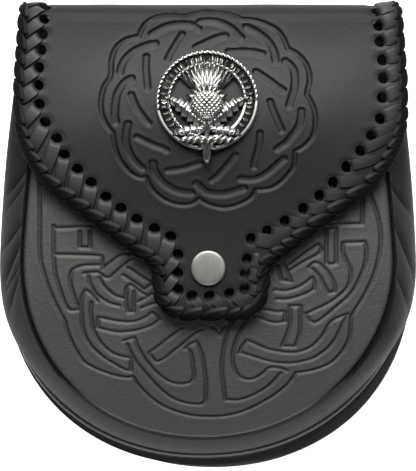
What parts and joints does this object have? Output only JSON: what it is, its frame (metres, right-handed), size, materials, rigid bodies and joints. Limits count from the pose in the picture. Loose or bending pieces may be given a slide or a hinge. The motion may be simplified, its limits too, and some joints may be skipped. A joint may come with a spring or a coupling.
{
  "type": "sporran pouch",
  "caption": "Black leather sporran pouch with a knotwork front, a soft gusset, a laced flap closed by a snap, and a cast badge.",
  "frame": {"origin": "under the middle of the pouch's outline, on the surface that it lies on, back down", "axes": "+X to the right as seen from the front, +Y up towards the fold of the flap, +Z out of the front"},
  "size_m": [0.1776, 0.2, 0.0449],
  "materials": {
    "body_leather": "satin black, tooled",
    "gusset_leather": "soft satin black",
    "lace_leather": "semi-gloss black",
    "snap_metal": "satin nickel",
    "badge_metal": "polished cast, darkened in its hollows",
    "rivet_metal": "nickel"
  },
  "bodies": {
    "root": {"back_panel": "body_leather", "badge": "badge_metal", "badge_nut_left": "rivet_metal", "badge_nut_right": "rivet_metal", "flap": "body_leather", "flap_lace": "lace_leather", "front_panel": "body_leather", "gusset": "gusset_leather", "hanger_loop_left": "body_leather", "hanger_loop_right": "body_leather", "rivet_lower_left": "rivet_metal", "rivet_lower_right": "rivet_metal", "rivet_upper_left": "rivet_metal", "rivet_upper_right": "rivet_metal", "seam_welt": "gusset_leather", "snap_cap": "snap_metal", "snap_stud": "snap_metal"}
  },
  "joints": []
}
